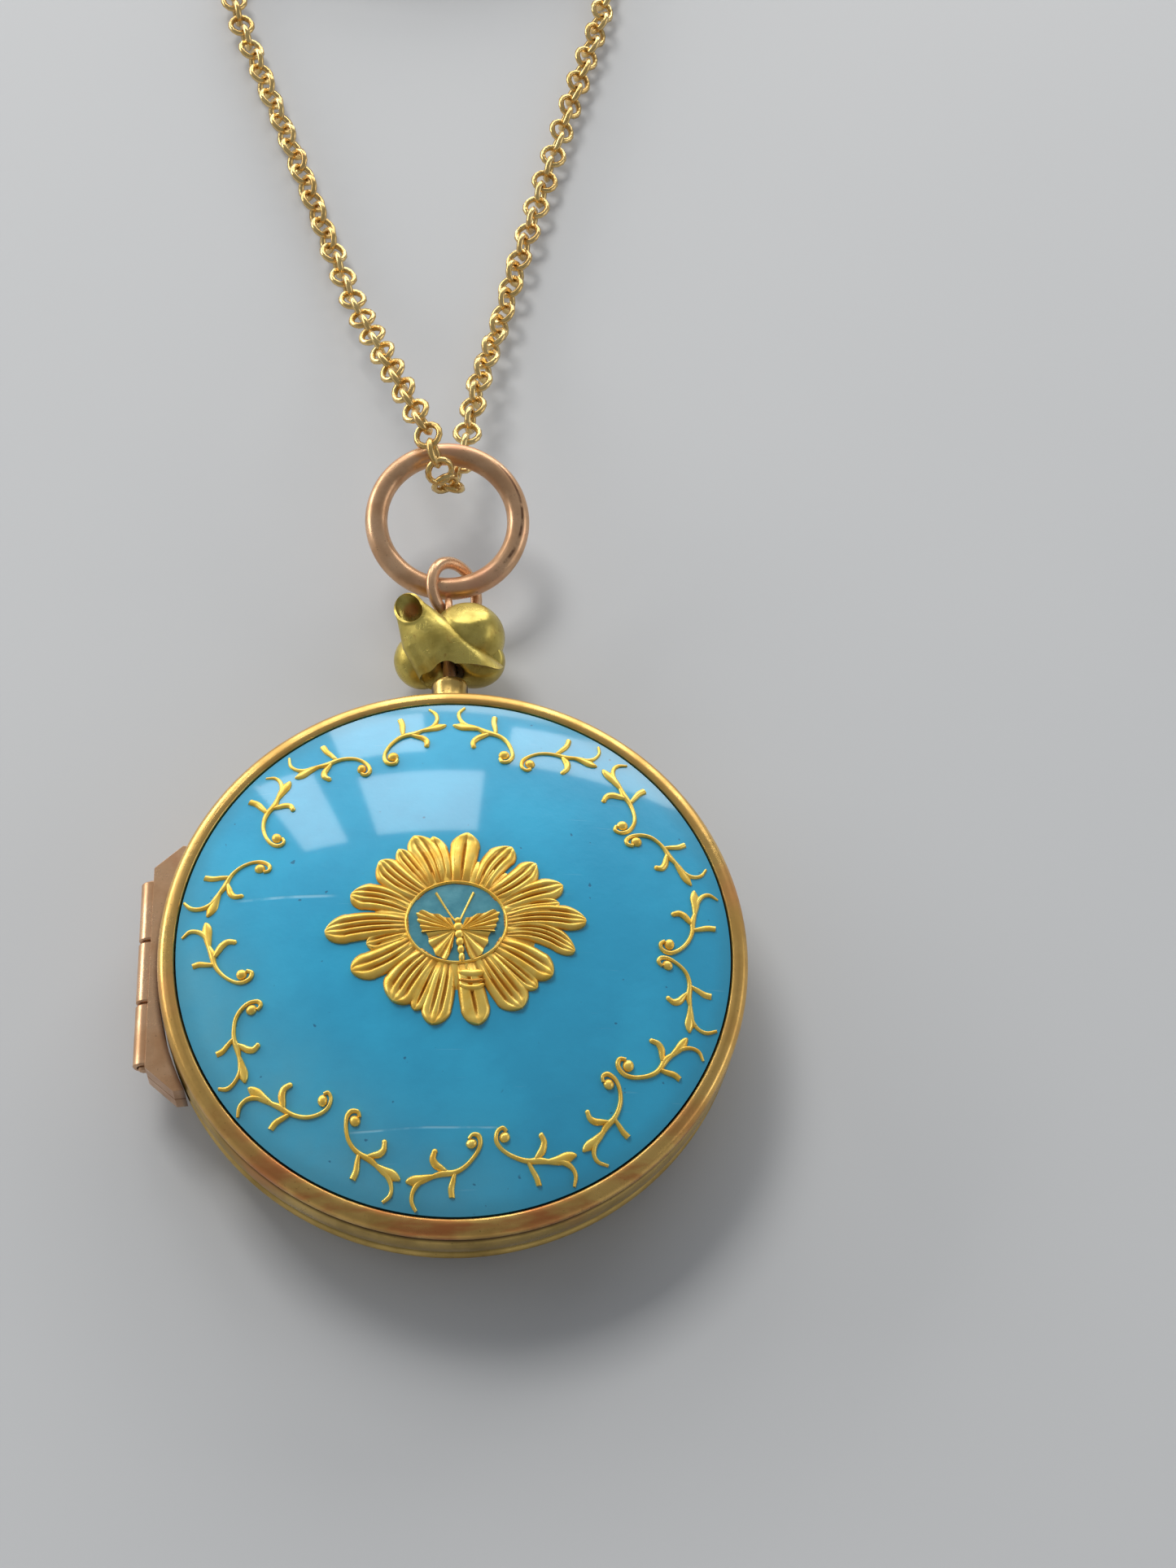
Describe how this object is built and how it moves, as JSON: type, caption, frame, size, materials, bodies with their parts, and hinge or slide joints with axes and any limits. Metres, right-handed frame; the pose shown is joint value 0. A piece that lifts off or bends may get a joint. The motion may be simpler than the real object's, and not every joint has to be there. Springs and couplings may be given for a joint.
{
  "type": "locket",
  "caption": "Round hinged picture locket with a domed blue enamel front, knot bead, jump ring, bail ring and fine neck chain.",
  "frame": {"origin": "centre of the flat land in the middle of the case's back, on the surface that it lies on", "axes": "+Z out of the enamelled front, +Y along the pendant neck toward the chain, hinge on the -X side"},
  "size_m": [0.0294, 0.1101, 0.0087],
  "materials": {
    "case_gold": "worn yellow gold, soft polish",
    "bezel_gold": "worn gold with copper red wear",
    "rose_gold": "polished rose gold",
    "green_gold": "satin green gold",
    "foil_gold": "bright chased gold",
    "chain_gold": "polished gold links",
    "enamel": "glossy sky blue fired enamel",
    "medallion_enamel": "grey blue fired enamel",
    "paper": "blank cream paper",
    "glass": "thin clear glass"
  },
  "bodies": {
    "case": {"back_shell": "case_gold", "back_snap_lip": "case_gold", "back_well_plate": "case_gold", "back_picture": "paper", "back_glass": "glass", "back_picture_ring": "case_gold", "hinge_knuckle_back_a": "rose_gold", "hinge_knuckle_back_b": "rose_gold", "hinge_pin": "rose_gold", "hinge_bearer_back": "rose_gold", "pendant_neck": "case_gold", "swivel_post": "rose_gold"},
    "cover": {"front_wall": "case_gold", "front_bezel": "bezel_gold", "front_dome_plate": "case_gold", "enamel_dome": "enamel", "front_well_plate": "case_gold", "front_picture": "paper", "front_glass": "glass", "front_picture_ring": "case_gold", "sunflower": "foil_gold", "medallion": "medallion_enamel", "butterfly": "foil_gold", "hinge_knuckle_front": "rose_gold", "hinge_bearer_front": "rose_gold"},
    "knot": {"knot_bead": "green_gold"},
    "jump": {"jump_ring": "rose_gold"},
    "bail": {"bail_ring": "rose_gold"},
    "chain": {"chain_strands": "chain_gold", "chain_coil": "chain_gold", "clasp_ring": "chain_gold", "end_ring_fixed": "chain_gold", "end_ring_catch": "chain_gold"},
    "bolt": {"clasp_bolt": "chain_gold"}
  },
  "joints": [
    {"name": "cover_hinge", "type": "hinge", "parent": "case", "child": "cover", "pos_m": [-0.01474, 0, 0.0031], "axis": [0, -1, 0], "range_deg": [0, 150]},
    {"name": "knot_spin", "type": "hinge", "parent": "case", "child": "knot", "pos_m": [0, 0.0185, 0.0031], "axis": [0, 1, 0], "continuous": true},
    {"name": "jump_swing", "type": "hinge", "parent": "case", "child": "jump", "pos_m": [0, 0.02025, 0.0031], "axis": [1, 0, 0], "range_deg": [0, 15]},
    {"name": "bail_swing", "type": "hinge", "parent": "jump", "child": "bail", "pos_m": [0, 0.022, 0.00308], "axis": [1, 0, 0], "range_deg": [0, 60]},
    {"name": "chain_swing", "type": "hinge", "parent": "bail", "child": "chain", "pos_m": [0, 0.02936, 0.00498], "axis": [1, 0, 0], "range_deg": [-60, 60]},
    {"name": "bolt_slide", "type": "hinge", "parent": "chain", "child": "bolt", "pos_m": [-0.0005, 0.0836, 0.00116], "axis": [0, 0, 1], "range_deg": [0, 45]}
  ]
}
